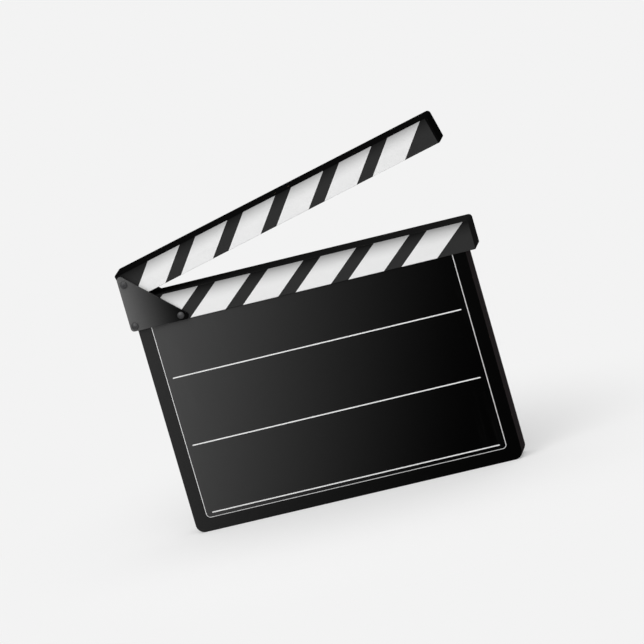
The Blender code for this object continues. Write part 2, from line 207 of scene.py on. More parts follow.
grainGroup = makeGrain()
skinGroup = makeSkin()
handlingGroup = makeHandling()
rubbedGroup = makeRubbedEdge()
sheenFadeGroup = makeSheenFade()
print("shared effects ready")


# tools for finishes

def newMaterial(name, gloss, roughness, metal=0.0):
    material = bpy.data.materials.new(name)
    material.use_nodes = True
    tree = material.node_tree
    skin = tree.nodes["Principled BSDF"]
    skin.inputs["Specular IOR Level"].default_value = gloss
    skin.inputs["Roughness"].default_value = roughness
    skin.inputs["Metallic"].default_value = metal
    return material, tree, skin


def wire(tree, skin, colour, roughness, height, depth):
    # depth is how far the height stands out, in metres
    tree.links.new(colour, skin.inputs["Base Color"])
    tree.links.new(roughness, skin.inputs["Roughness"])
    bump = put(tree, "Bump", {"Height": height, "Distance": depth})
    tree.links.new(bump.outputs["Normal"], skin.inputs["Normal"])


def uneven(tree, mask, roughness, smoother=0.06, rougher=0.08):
    # making and use leave a surface smoother in some spots and rougher in others
    return spread(tree, mask, roughness - smoother, roughness + rougher)


def sheenedColour(tree, look):
    # a painted sheen: the left tone where the piece is lit, falling to the right tone where it is dark
    share = calc(tree, "POWER", useGroup(tree, sheenFadeGroup, look["sheenFade"])["Share"], look["fadeCurve"])
    return blendColours(tree, share, inLinear(*look["rightTone"]), inLinear(*look["leftTone"]))


# tools for shapes

def roundedOutline(spots, steps=10):
    # spots are (x, z, radius), counter-clockwise as seen from the front
    outline = []
    for index, (x, z, radius) in enumerate(spots):
        here = Vector((x, z))
        if radius <= 0:
            outline.append(here)
            continue
        back = (Vector(spots[index - 1][:2]) - here).normalized()
        ahead = (Vector(spots[(index + 1) % len(spots)][:2]) - here).normalized()
        half = back.angle(ahead) / 2
        centre = here + (back + ahead).normalized() * (radius / math.sin(half))
        start = here + back * (radius / math.tan(half)) - centre
        sweep = math.pi - 2 * half
        outline += [centre + Matrix.Rotation(sweep * step / steps, 2) @ start for step in range(steps + 1)]
    return outline


def inset(outline, distance):
    moved = []
    for index, here in enumerate(outline):
        before = (here - outline[index - 1]).normalized()
        after = (outline[(index + 1) % len(outline)] - here).normalized()
        first, second = Vector((-before.y, before.x)), Vector((-after.y, after.x))
        moved.append(here + (first + second) * (distance / (1 + first.dot(second))))
    return moved


def skinned(rings):
    # rings are (y, outline, edge value) from front to back, all with the same number of points
    mesh = bmesh.new()
    edgeLayer = mesh.verts.layers.float.new("edge")
    rows = []
    for y, outline, edgeValue in rings:
        row = [mesh.verts.new((point.x, y, point.y)) for point in outline]
        for vert in row:
            vert[edgeLayer] = edgeValue
        rows.append(row)
    mesh.faces.new(rows[0])
    mesh.faces.new(list(reversed(rows[-1])))
    for near, far in zip(rows, rows[1:]):
        for index in range(len(near)):
            after = (index + 1) % len(near)
            mesh.faces.new((near[index], far[index], far[after], near[after]))
    return mesh


def easedSlab(outline, front, back, frontEase, backEase, steps=4):
    # a flat piece whose faces meet its sides in small rounds
    turns = [math.pi / 2 * step / steps for step in range(steps + 1)]
    rings = []
    for turn in turns if frontEase else turns[-1:]:
        ring = inset(outline, frontEase * (1 - math.sin(turn)))
        rings.append((front + frontEase * (1 - math.cos(turn)), ring, math.sin(2 * turn)))
    for turn in reversed(turns if backEase else turns[-1:]):
        ring = inset(outline, backEase * (1 - math.sin(turn)))
        rings.append((back - backEase * (1 - math.cos(turn)), ring, math.sin(2 * turn)))
    return skinned(rings)


def turnedSolid(profile, across, height, steps=56, alongX=False):
    # profile is (radius, place on the axis, edge value); a radius of 0 closes the end
    # the axis runs along y, where across is its x, or along x, where across is its y
    mesh = bmesh.new()
    edgeLayer = mesh.verts.layers.float.new("edge")
    radiusLayer = mesh.verts.layers.float.new("radius")
    rows = []
    for radius, place, *edgeValue in profile:
        row = []
        for step in range(steps if radius > 0 else 1):
            angle = 2 * math.pi * step / steps
            side, up = across + radius * math.cos(angle), height + radius * math.sin(angle)
            vert = mesh.verts.new((place, side, up) if alongX else (side, place, up))
            vert[edgeLayer] = edgeValue[0] if edgeValue else 0.0
            vert[radiusLayer] = radius
            row.append(vert)
        rows.append(row)
    closed = len(rows[0]) > 1
    for near, far in zip(rows, rows[1:] + rows[:1] if closed else rows[1:]):
        for index in range(steps):
            corners = ((near, index), (far, index), (far, index + 1), (near, index + 1))
            face = [row[spot % len(row)] for row, spot in corners]
            mesh.faces.new(list(dict.fromkeys(face)))  # beside a single point, a triangle
    bmesh.ops.recalc_face_normals(mesh, faces=mesh.faces)
    return mesh


def boxSolid(low, high):
    (left, front, foot), (right, back, top) = low, high
    outline = [Vector(spot) for spot in ((left, foot), (right, foot), (right, top), (left, top))]
    return skinned([(front, outline, 0.0), (back, outline, 0.0)])


def toObject(mesh, name):
    data = bpy.data.meshes.new(name)
    mesh.to_mesh(data)
    mesh.free()
    made = bpy.data.objects.new(name, data)
    scene.collection.objects.link(made)
    return made


def carve(piece, cutter, operation="DIFFERENCE"):
    tool = toObject(cutter, "cutter")
    change = piece.modifiers.new("carve", "BOOLEAN")
    change.operation, change.object, change.solver = operation, tool, "EXACT"
    shaped = bpy.data.meshes.new_from_object(piece.evaluated_get(bpy.context.evaluated_depsgraph_get()))
    piece.modifiers.clear()
    old, piece.data = piece.data, shaped
    bpy.data.meshes.remove(old)
    spare = tool.data
    bpy.data.objects.remove(tool)
    bpy.data.meshes.remove(spare)


def bore(piece, radius, spot, front, back):
    front, back = front - overrun, back + overrun
    carve(piece, turnedSolid([(0, front), (radius, front), (radius, back), (0, back)], spot.x, spot.z))


def turnsLeftOrDown(facing):
    # true for what looks to the left, down or between the two
    return facing.x + facing.z < -0.7


def finishPiece(piece, body, node, sharpFrom=35.0, turn=None):
    # edges that bend by sharpFrom degrees or more stay sharp
    mesh = bmesh.new()
    mesh.from_mesh(piece.data)
    bmesh.ops.remove_doubles(mesh, verts=mesh.verts, dist=weldGap)
    for edge in mesh.edges:
        edge.smooth = len(edge.link_faces) == 2 and edge.calc_face_angle() < math.radians(sharpFrom)
    for face in mesh.faces:
        face.smooth = True
    mesh.to_mesh(piece.data)
    mesh.free()
    level = piece.modifiers.new("flat faces stay flat", "WEIGHTED_NORMAL")
    level.keep_sharp = True
    if turn:
        piece.matrix_world = turn
    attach(piece, body)
    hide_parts(node)


def middleOf(node):
    low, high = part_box(node)
    return (low + high) / 2


boardLow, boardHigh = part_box("slate_board")
panelLow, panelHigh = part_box("writing_panel")
stickLow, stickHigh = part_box("lower_clapstick")
gap = stickLow.z - panelHigh.z  # the clearance between neighbouring pieces
print("clearance", round(gap * 1000, 2), "mm")


# metals of the posts, screws and bush

metals = {
    "postSteel": {"tint": (62, 62, 63), "deep": (34, 34, 35),
                  "metal": 0.5, "roughness": 0.36, "bump": 0.00002},
    "screwZinc": {"tint": (178, 180, 182), "deep": (120, 122, 124),
                  "metal": 1.0, "roughness": 0.3, "bump": 0.00002},
    "bushBrass": {"tint": (205, 168, 96), "deep": (150, 112, 56),
                  "metal": 1.0, "roughness": 0.28, "bump": 0.00001},
}
turning = {
    "gloss": 0.5, "smoother": 0.06, "rougher": 0.1, "wornBrighter": 1.35,
    "rings": {"Scale": 5200.0, "Detail": 2.0},
    "handling": {"Patch": 160.0, "Rubs": 700.0},
    "rubbedEdge": {"Amount": 0.3, "Spots": 700.0},
}


def makeTurnedMetal(name):
    # rings left by turning; every turned piece stores its own radius
    look = metals[name]
    material, tree, skin = newMaterial(name, turning["gloss"], look["roughness"], look["metal"])
    hands = useGroup(tree, handlingGroup, turning["handling"])
    worn = useGroup(tree, rubbedGroup, turning["rubbedEdge"])
    fromAxis = put(tree, "Attribute", attribute_name="radius").outputs["Fac"]
    outward = put(tree, "CombineXYZ", {"X": fromAxis}).outputs[0]
    rings = noise(tree, outward, **turning["rings"])
    toned = blendColours(tree, hands["Patches"], inLinear(*look["deep"]), inLinear(*look["tint"]))
    colour = blendColours(tree, worn["Mask"], toned, scaled(look["tint"], turning["wornBrighter"]))
    rough = uneven(tree, rings, look["roughness"], turning["smoother"], turning["rougher"])
    wire(tree, skin, colour, rough, rings, look["bump"])
    return material


# posts and screws

posts = {
    "barrelRadius": 0.0020, "headRadius": 0.0030, "rim": 0.0005, "dome": 0.0012,
    "domeShare": 0.965, "domeSteps": 8,  # the dome ends just inside the rim
    "edgeBreak": 0.00006,
    "seat": 0.0141,                      # of the heads, measured from the middle of the board
    "screwRadius": 0.00125, "screwReach": 0.011, "screwTip": 0.0002,
    "slotWidth": 0.0008, "slotDepth": 0.00135, "slotTurns": {"pivot": 24, "heel": -37, "toe": 8},
}
boardScrews = {
    "headRadius": 0.0029, "shankRadius": 0.0015, "rim": 0.0002, "tip": 0.0025,
    "breakAcross": 0.00015, "breakDown": 0.00008,
    "slotWidth": 0.0008, "slotDepth": 0.0008,
    "slotTurns": {"board_screw_1": 12, "board_screw_2": -28, "board_screw_3": 41, "board_screw_4": -6},
}
holeRadius = posts["barrelRadius"] + gap
heelSpot, toeSpot, pivotSpot = (middleOf(name) for name in ("heel_barrel", "toe_barrel", "pivot_barrel"))


def domed(face, outward):
    # profile of a domed head from its crown to its seat; outward is -1 at the front and 1 at the back
    radius, rim, dome = posts["headRadius"], posts["rim"], posts["dome"]
    steps, edgeBreak = posts["domeSteps"], posts["edgeBreak"]
    nearRim, atRim, atSeat = 0.3, 1.0, 0.6  # edge values
    ball = (radius * radius + dome * dome) / (2 * dome)
    profile = []
    for step in range(steps + 1):
        out = radius * posts["domeShare"] * step / steps
        drop = ball - math.sqrt(ball * ball - out * out)
        profile.append((out, face + outward * (rim + dome - drop), nearRim if step > steps - 2 else 0.0))
    profile.append((radius, face + outward * (rim - edgeBreak), atRim))
    profile.append((radius, face + outward * edgeBreak, atSeat))
    profile.append((radius - edgeBreak, face, 0.0))
    return profile


def countersunk(node, grow=0.0):
    # profile of a board screw, or of the hole for it where it grows by the clearance
    low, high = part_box(node)
    tip, top = low.y - grow, high.y
    head, shank, rim = boardScrews["headRadius"], boardScrews["shankRadius"], boardScrews["rim"]
    neck = top - rim - (head - shank)
    if grow:
        mouth = [(0, top + overrun), (head + grow, top + overrun)]
    else:
        edge = head - boardScrews["breakAcross"]
        mouth = [(0, top), (edge, top, 1.0), (head, top - boardScrews["breakDown"], 1.0)]
    cone = [(head + grow, top - rim), (shank + grow, neck)]
    return mouth + cone + [(shank + grow, tip + boardScrews["tip"]), (0, tip)]


def sinkScrewHoles(piece):
    for node in boardScrews["slotTurns"]:
        spot = middleOf(node)
        carve(piece, turnedSolid(countersunk(node, gap), spot.x, spot.z))


def cutSlot(piece, node, screw, slotTurn):
    # a screwdriver slot across the head, which faces the back
    spot, face = middleOf(node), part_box(node)[1].y
    reach, half = screw["headRadius"] + overrun, screw["slotWidth"] / 2
    slot = boxSolid((-reach, face - screw["slotDepth"], -half), (reach, face + overrun, half))
    turn = Matrix.Rotation(math.radians(slotTurn), 4, "Y")
    slot.transform(Matrix.Translation((spot.x, 0, spot.z)) @ turn)
    carve(piece, slot)


def makeTurned(name, node, profile, material, body="slate", screw=None, slotTurn=0):
    spot = middleOf(node)
    piece = toObject(turnedSolid(profile, spot.x, spot.z), name)
    if screw:
        cutSlot(piece, node, screw, slotTurn)
    piece.data.materials.append(material)
    finishPiece(piece, body, node)


def makeBarrel(name, node, material):
    # hollow from the back, where its screw goes in
    radius, seat, back = posts["barrelRadius"], posts["seat"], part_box(node)[1].y
    hollow, floor = posts["screwRadius"] + gap, seat - posts["screwReach"] - gap
    sleeve = [(radius, -seat), (radius, back), (hollow, back), (hollow, floor), (0, floor)]
    makeTurned(name, node, domed(-seat, -1) + sleeve, material)


def makePostScrew(name, node, slotTurn, material):
    low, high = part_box(node)
    radius, tip, seat = posts["screwRadius"], posts["screwTip"], high.y - posts["rim"] - posts["dome"]
    shank = [(radius, seat), (radius, low.y + tip), (radius - tip, low.y), (0, low.y)]
    makeTurned(name, node, domed(seat, 1) + shank, material, screw=posts, slotTurn=slotTurn)


def makeBoardScrew(name, node, slotTurn, material):
    profile = countersunk(node)
    makeTurned(name, node, profile, material, screw=boardScrews, slotTurn=slotTurn)


# the pivot's bush and washers

washers = {
    "springSheet": 0.0004, "ease": 0.0001,
    "fibre": {
        "dark": (112, 52, 38), "light": (146, 76, 54),
        "gloss": 0.3, "roughness": 0.7, "smoother": 0.08, "rougher": 0.1, "bump": 0.00005,
        "handling": {"Patch": 300.0, "Rubs": 900.0},
        "sprayedSkin": {"Grain": 4200.0, "Nibs": 900.0},
    },
}


def makeFibre():
    look = washers["fibre"]
    material, tree, skin = newMaterial("washerFibre", look["gloss"], look["roughness"])
    hands = useGroup(tree, handlingGroup, look["handling"])
    peel = useGroup(tree, skinGroup, look["sprayedSkin"])
    colour = blendColours(tree, hands["Patches"], inLinear(*look["dark"]), inLinear(*look["light"]))
    rough = uneven(tree, hands["Rubs"], look["roughness"], look["smoother"], look["rougher"])
    wire(tree, skin, colour, rough, peel["Height"], look["bump"])
    return material


def makeRing(name, node, material):
    # the bush or a flat washer on the pivot's barrel, with its edges broken
    (low, high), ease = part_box(node), washers["ease"]
    outer = (high.x - low.x) / 2
    profile = [(outer - ease, low.y), (outer, low.y + ease, 1.0), (outer, high.y - ease, 1.0),
               (outer - ease, high.y), (holeRadius + ease, high.y), (holeRadius, high.y - ease),
               (holeRadius, low.y + ease), (holeRadius + ease, low.y)]
    makeTurned(name, node, profile, material, body="clapper")


def makeSpringWasher(name, node, material):
    # a cone of thin sheet, which presses outwards on the screw's head
    low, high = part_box(node)
    outer, hole, sheet = (high.x - low.x) / 2, posts["screwRadius"] + gap, washers["springSheet"]
    profile = [(outer, low.y, 0.5), (outer, low.y + sheet, 1.0), (hole, high.y), (hole, high.y - sheet)]
    makeTurned(name, node, profile, material)


# board

board = {
    "cornerRound": 0.0075, "ease": 0.0010,
    "tongueInset": 0.006, "tongueThickness": 0.009, "tongueRoot": 0.004,
    # the left catches the light, the right falls into black
    "leftTone": (48, 48, 48), "rightTone": (1, 1, 1),
    "sheenFade": {"Start": -0.20, "End": 0.148, "Lean": 0.28}, "fadeCurve": 2.0,
    # the right side is dead flat; the back, the left side and the underside are satin
    "side": (44, 40, 41), "back": (38, 37, 37),
    "frontGloss": 0.015, "sideGloss": 0.0, "backGloss": 0.16, "roughness": 0.5,
    "faceWrap": 0.4,                      # share of the edge's round that takes the face's paint
    "thinShare": 0.3, "thinDarker": 0.7,  # where the paint lies thin over the grain
    "bareWood": (104, 84, 66),
    "woodGrain": {"Length": 0.06, "Fineness": 1300.0}, "grainHeight": 0.8,
    "sprayedSkin": {"Grain": 800.0, "Nibs": 110.0}, "peelHeight": 0.5, "bump": 0.00008,
    "handling": {"Patch": 11.0, "Rubs": 80.0},
    "rubbedEdge": {"Amount": 0.1, "Spots": 240.0},
}


def makeBoardPaint(name, gloss, plain=None):
    material, tree, skin = newMaterial(name, gloss, board["roughness"])
    grain = useGroup(tree, grainGroup, board["woodGrain"])
    peel = useGroup(tree, skinGroup, board["sprayedSkin"])
    hands = useGroup(tree, handlingGroup, board["handling"])
    worn = useGroup(tree, rubbedGroup, board["rubbedEdge"])
    if plain:
        thin = spread(tree, grain["Tone"], 0.0, board["thinShare"])
        coat = blendColours(tree, thin, inLinear(*plain), scaled(plain, board["thinDarker"]))
    else:
        coat = sheenedColour(tree, board)
    colour = blendColours(tree, worn["Mask"], coat, inLinear(*board["bareWood"]))
    rough = uneven(tree, hands["Patches"], board["roughness"])
    height = blendHeights(tree, grain["Height"], board["grainHeight"], peel["Height"], board["peelHeight"])
    wire(tree, skin, colour, rough, height, board["bump"])
    return material


def makeBoard():
    top, corner, ease = panelHigh.z, board["cornerRound"], board["ease"]
    outline = roundedOutline([(boardLow.x, 0, corner), (boardHigh.x, 0, corner),
                              (boardHigh.x, top, 0), (boardLow.x, top, 0)])
    piece = toObject(easedSlab(outline, boardLow.y, boardHigh.y, ease, ease), "boardBody")
    side, half = boardHigh.x - board["tongueInset"], board["tongueThickness"] / 2
    carve(piece, boxSolid((-side, -half, top - board["tongueRoot"]), (side, half, boardHigh.z)), "UNION")
    wide, low, inner, past = panelHigh.x + gap, panelLow.z - gap, panel["cornerRound"] + gap, top + overrun
    recess = roundedOutline([(-wide, low, inner), (wide, low, inner), (wide, past, 0), (-wide, past, 0)])
    carve(piece, skinned([(boardLow.y - overrun, recess, 0.0), (panelHigh.y + gap, recess, 0.0)]))
    bore(piece, holeRadius, toeSpot, -half, half)
    sinkScrewHoles(piece)
    piece.data.materials.append(makeBoardPaint("boardPaint", board["frontGloss"]))
    piece.data.materials.append(makeBoardPaint("boardSides", board["sideGloss"], board["side"]))
    piece.data.materials.append(makeBoardPaint("boardBack", board["backGloss"], board["back"]))
    frontPaint, sidePaint, backPaint = range(3)
    wrap = ease * board["faceWrap"]
    for part in piece.data.polygons:
        spot = part.center
        outer = spot.x < boardLow.x + corner or spot.z < corner
        satin = spot.y > boardHigh.y - wrap or outer and turnsLeftOrDown(part.normal)
        if spot.y < boardLow.y + wrap:
            part.material_index = frontPaint
        else:
            part.material_index = backPaint if satin else sidePaint
    finishPiece(piece, "slate", "slate_board")


# writing panel

panel = {
    "cornerRound": 0.0038, "bevelWidth": 0.0006, "bevelDepth": 0.0003,
    "ruleInset": 0.0055, "ruleWidth": 0.0010, "ruleDepth": 0.0005, "ruleHeights": [0.0157, 0.0757, 0.1357],
    # painted sheen: the left catches the light, the right falls into black
    "leftTone": (75, 75, 75), "rightTone": (0, 0, 0),
    "sheenFade": {"Start": -0.196, "End": 0.118, "Lean": 0.28}, "fadeCurve": 2.0,
    "chalk": (120, 120, 120), "chalkShare": 0.02,
    "gloss": 0.015, "roughness": 0.42, "bump": 0.00002,
    "sprayedSkin": {"Grain": 2600.0, "Nibs": 60.0},
    "handling": {"Patch": 9.0, "Rubs": 70.0},
    "core": {  # the laminate's white layer, bared in the rules and along the bevel
        "rule": (238, 238, 238), "bevel": (236, 236, 236), "dustShare": 0.12, "dustDarker": 0.8,
        "gloss": 0.4, "roughness": 0.5, "smoother": 0.08, "rougher": 0.12, "bump": 0.00003,
        "sprayedSkin": {"Grain": 2200.0, "Nibs": 300.0},
        "handling": {"Patch": 60.0, "Rubs": 400.0},
    },
}


def makePanelFace():
    material, tree, skin = newMaterial("panelFace", panel["gloss"], panel["roughness"])
    peel = useGroup(tree, skinGroup, panel["sprayedSkin"])
    hands = useGroup(tree, handlingGroup, panel["handling"])
    haze = calc(tree, "MULTIPLY", hands["Rubs"], panel["chalkShare"])
    colour = blendColours(tree, haze, sheenedColour(tree, panel), inLinear(*panel["chalk"]))
    rough = uneven(tree, hands["Patches"], panel["roughness"])
    wire(tree, skin, colour, rough, peel["Height"], panel["bump"])
    return material


def makeCore(name, tint):
    # a fine grain that the cutter leaves in the white layer, greyed in patches by dust
    look = panel["core"]
    material, tree, skin = newMaterial(name, look["gloss"], look["roughness"])
    peel = useGroup(tree, skinGroup, look["sprayedSkin"])
    hands = useGroup(tree, handlingGroup, look["handling"])
    dusty = calc(tree, "MULTIPLY", hands["Patches"], look["dustShare"])
    colour = blendColours(tree, dusty, inLinear(*tint), scaled(tint, look["dustDarker"]))
    rough = uneven(tree, peel["Height"], look["roughness"], look["smoother"], look["rougher"])
    wire(tree, skin, colour, rough, peel["Height"], look["bump"])
    return material


def makePanel():
    def face(edge):
        # the sides and the lower edge are bevelled, the upper edge butts against the stick
        left, right, low, top = panelLow.x + edge, panelHigh.x - edge, panelLow.z + edge, panelHigh.z
        corner = panel["cornerRound"] - edge
        return roundedOutline([(left, low, corner), (right, low, corner), (right, top, 0), (left, top, 0)])

    bevel = panelLow.y + panel["bevelDepth"]
    rings = [(panelLow.y, face(panel["bevelWidth"]), 0.0)]
    rings += [(y, face(0), 0.0) for y in (bevel, panelHigh.y)]
    piece = toObject(skinned(rings), "writingPanel")
    # a round-nosed cutter leaves grooves with round ends
    half, depth, steps = panel["ruleWidth"] / 2, panel["ruleDepth"], 6
    nose = (half * half + depth * depth) / (2 * depth)
    centre = panelLow.y + depth - nose
    end = panelHigh.x - panel["ruleInset"] - half
    turns = [math.pi / 2 * step / steps for step in range(steps + 1)]
    cap = [(nose * math.sin(turn), nose * math.cos(turn)) for turn in turns]
    profile = [(radius, -end - out) for radius, out in cap]
    profile += [(radius, end + out) for radius, out in reversed(cap)]
    for height in panel["ruleHeights"]:
        carve(piece, turnedSolid(profile, centre, height, steps=48, alongX=True))
    piece.data.materials.append(makePanelFace())
    piece.data.materials.append(makeCore("panelRule", panel["core"]["rule"]))
    piece.data.materials.append(makeCore("panelBevel", panel["core"]["bevel"]))
    facePaint, ruleCore, bevelCore = range(3)
    shallow, deep = panelLow.y + 0.00002, panelLow.y + depth + 0.0001  # a groove's faces lie between
    for part in piece.data.polygons:
        spot = part.center
        inRule = min(abs(spot.z - height) for height in panel["ruleHeights"]) < half
        slanting = 0.2 < abs(part.normal.y) < 0.99
        if inRule and shallow < spot.y < deep and abs(spot.x) < end + half:
            part.material_index = ruleCore
        else:
            part.material_index = bevelCore if slanting and spot.y < bevel else facePaint
    finishPiece(piece, "slate", "writing_panel", 25.0)


# clapsticks

sticks = {
    "height": 0.0254, "cornerRound": 0.003, "freeCorner": 0.001, "ease": 0.0006,
    "heelSetback": 0.0005, "heelRound": 0.002, "heelSteps": 8,
    "stripeCount": 6, "stripePitch": 0.04604, "stripeFirst": 0.036,
    "stripeWidth": 0.0308, "stripeLean": 0.0296,
    # the stripes cover the whole round below them and this share of the one above them
    "stripeWrap": 0.62,
    # the flat black of the top and the free end, painted darker than the back as shade, and how far that
    # painted shade runs onto the front
    "edgeShadeBlack": {"lowerStick": (27, 27, 27), "upperStick": (10, 10, 10)},
    "border": {"lowerStick": 0.0004, "upperStick": 0.0020},
    # black and white darken towards the top in a painted shade; Back is also on the underside and hinge end
    "paints": {
        "Edge": {"gloss": 0.0, "roughness": 0.6, "wear": 0.1},
        "Black": {"tint": (47, 47, 47), "shade": (2, 2, 2),
                  "gloss": 0.02, "roughness": 0.48, "wear": 0.08},
        "White": {"tint": (229, 229, 229), "shade": (120, 120, 120),
                  "gloss": 0.2, "roughness": 0.46, "wear": 0.08},
        "Back": {"tint": (36, 36, 36), "gloss": 0.16, "roughness": 0.48, "wear": 0.1},
    },
    "backWrap": 0.4,                       # share of the edge's round that takes the back's paint
    "shadeFrom": 0.0105, "shadeTo": 0.0262, "shadeCurve": 1.7,
    "thinShare": 0.08, "thinDarker": 0.9,  # where the paint lies thin over the grain
    "bareWood": (112, 92, 72), "rubbedSpots": 300.0,
    "woodGrain": {"Length": 0.05, "Fineness": 1500.0}, "grainHeight": 1.0,
    "sprayedSkin": {"Grain": 1000.0, "Nibs": 150.0}, "peelHeight": 0.4, "bump": 0.00007,
    "handling": {"Patch": 22.0, "Rubs": 110.0},
}


def topShade(tree, foot):
    # painted shade: 0 low on the stick, growing towards 1 at its top
    height = put(tree, "SeparateXYZ", {0: ownPlace(tree)}).outputs["Z"]
    share = spread(tree, height, 0.0, 1.0, start=foot + sticks["shadeFrom"], end=foot + sticks["shadeTo"])
    return calc(tree, "POWER", share, sticks["shadeCurve"])


def makeStickPaint(stick, finish, foot):
    look = sticks["paints"][finish]
    # the Edge finish takes the painted shade of the top and the free end, a different depth on each stick
    tint = look.get("tint", sticks["edgeShadeBlack"][stick])
    material, tree, skin = newMaterial(stick + finish, look["gloss"], look["roughness"])
    grain = useGroup(tree, grainGroup, sticks["woodGrain"])
    peel = useGroup(tree, skinGroup, sticks["sprayedSkin"])
    hands = useGroup(tree, handlingGroup, sticks["handling"])
    worn = useGroup(tree, rubbedGroup, {"Amount": look["wear"], "Spots": sticks["rubbedSpots"]})
    thin = spread(tree, grain["Tone"], 0.0, sticks["thinShare"])
    colour = blendColours(tree, thin, inLinear(*tint), scaled(tint, sticks["thinDarker"]))
    if "shade" in look:
        # the painted shade darkens the paint towards the top of the stick
        colour = blendColours(tree, topShade(tree, foot), colour, inLinear(*look["shade"]))
    colour = blendColours(tree, worn["Mask"], colour, inLinear(*sticks["bareWood"]))
    rough = uneven(tree, hands["Patches"], look["roughness"])
    height = blendHeights(tree, grain["Height"], sticks["grainHeight"], peel["Height"], sticks["peelHeight"])
    wire(tree, skin, colour, rough, height, sticks["bump"])
    return material


def cutStripes(mesh, stripes, foot, front, brim, end):
    # the edges of the stripes and of the black border, cut into the front and its rounds
    across = Vector((sticks["height"], 0, -sticks["stripeLean"])).normalized()
    cuts = [((x, 0, foot), across) for stripe in stripes for x in stripe]
    cuts += [((0, 0, brim), Vector((0, 0, 1))), ((end, 0, 0), Vector((1, 0, 0)))]
    for place, normal in cuts:
        near = [face for face in mesh.faces if face.calc_center_median().y < front + sticks["ease"]]
        edges = [edge for face in near for edge in face.edges]
        verts = [vert for face in near for vert in face.verts]
        parts = list(dict.fromkeys(near + edges + verts))
        bmesh.ops.bisect_plane(mesh, geom=parts, dist=weldGap, plane_co=place, plane_no=normal)


def paintStick(piece, name, foot, front, back):
    height, ease, border = sticks["height"], sticks["ease"], sticks["border"][name]
    brim, end = foot + height - border, stickHigh.x - border
    stripes = []
    for number in range(sticks["stripeCount"]):
        right = stickLow.x + sticks["stripeFirst"] + sticks["stripePitch"] * number
        stripes.append((right - sticks["stripeWidth"], right))
    mesh = bmesh.new()
    mesh.from_mesh(piece.data)
    cutStripes(mesh, stripes, foot, front, brim, end)
    edgePaint, blackPaint, whitePaint, backPaint = range(4)
    for face in mesh.faces:
        spot = face.calc_center_median()
        facingDown = face.normal.z < -0.2
        deep = front + ease * (1.0 if facingDown else sticks["stripeWrap"])
        if spot.y > deep or spot.z > brim or spot.x > end:
            satin = spot.y > back - ease * sticks["backWrap"] or turnsLeftOrDown(face.normal)
            face.material_index = backPaint if satin else edgePaint
            continue
        start = spot.x - (spot.z - foot) * sticks["stripeLean"] / height
        white = any(left < start < right for left, right in stripes)
        face.material_index = whitePaint if white else blackPaint
    mesh.to_mesh(piece.data)
    mesh.free()
    for finish in sticks["paints"]:
        piece.data.materials.append(makeStickPaint(name, finish, foot))


def makeLowerStick():
    foot, top, front, back = stickLow.z, stickHigh.z, stickLow.y, stickHigh.y
    radius, ease = sticks["cornerRound"], sticks["ease"]
    outline = roundedOutline([(stickLow.x, foot, radius), (stickHigh.x, foot, sticks["freeCorner"]),
                              (stickHigh.x, top, radius), (stickLow.x, top, radius)])
    piece = toObject(easedSlab(outline, front, back, ease, ease), "lowerStick")
    side, half = boardHigh.x - board["tongueInset"] + gap, board["tongueThickness"] / 2 + gap
    carve(piece, boxSolid((-side, -half, foot - overrun), (side, half, boardHigh.z + gap)))
    for spot in (heelSpot, toeSpot):
        bore(piece, holeRadius, spot, front, back)
    sinkScrewHoles(piece)
    paintStick(piece, "lowerStick", foot, front, back)
    finishPiece(piece, "slate", "lower_clapstick")


def makeUpperStick():
    # shaped closed, on top of the lower stick, then swung open about the pivot
    foot, front, ease = stickHigh.z + gap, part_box("upper_clapstick")[0].y, sticks["ease"]
    top, left, right = foot + sticks["height"], stickLow.x + sticks["heelSetback"], stickHigh.x
    # the heel is round about the pivot, so that it clears the lower stick
    relief, steps = pivot.z - foot, sticks["heelSteps"]
    reach = math.asin((pivot.x - left) / relief)
    turns = [reach * step / steps for step in range(steps, -1, -1)]
    heel = [(pivot.x - relief * math.sin(turn), pivot.z - relief * math.cos(turn), 0) for turn in turns]
    free = [(right, foot, sticks["freeCorner"]), (right, top, sticks["cornerRound"])]
    outline = roundedOutline(heel + free + [(left, top, sticks["heelRound"])])
    piece = toObject(easedSlab(outline, front, -front, ease, ease), "upperStick")
    bushLow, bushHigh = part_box("pivot_bush")
    bore(piece, (bushHigh.x - bushLow.x) / 2 + gap, pivot, front, -front)
    paintStick(piece, "upperStick", foot, front, -front)
    swing = Matrix.Translation(pivot) @ Matrix.Rotation(-opening, 4, "Y") @ Matrix.Translation(-pivot)
    finishPiece(piece, "clapper", "upper_clapstick", turn=swing)


# corner plates

plates = {
    "width": 0.0556, "height": 0.0518, "cornerRound": 0.003, "ease": 0.0003,
    # painted sheen: the left catches the light, the right falls into black
    "leftTone": (102, 102, 102), "rightTone": (1, 1, 1),
    "sheenFade": {"Start": -0.149, "End": -0.0965, "Lean": 0.0}, "fadeCurve": 2.0,
    "rubbed": (120, 120, 122),
    "gloss": 0.03, "roughness": 0.42,
    # the brushing is noise drawn out sideways: its pace along the lines, how fine they are, and the
    # noise's turn in radians, which changes the pattern and not the way the lines run
    "brushPace": 0.03, "brushFineness": 2600.0, "brushTurn": 0.49,
    "brushTone": (8, 8, 8), "brushShare": 0.18, "brushHeight": 0.6,
    "sprayedSkin": {"Grain": 1800.0, "Nibs": 260.0}, "peelHeight": 0.5, "bump": 0.00003,
    "handling": {"Patch": 45.0, "Rubs": 300.0},
    "rubbedEdge": {"Amount": 0.2, "Spots": 420.0},
}


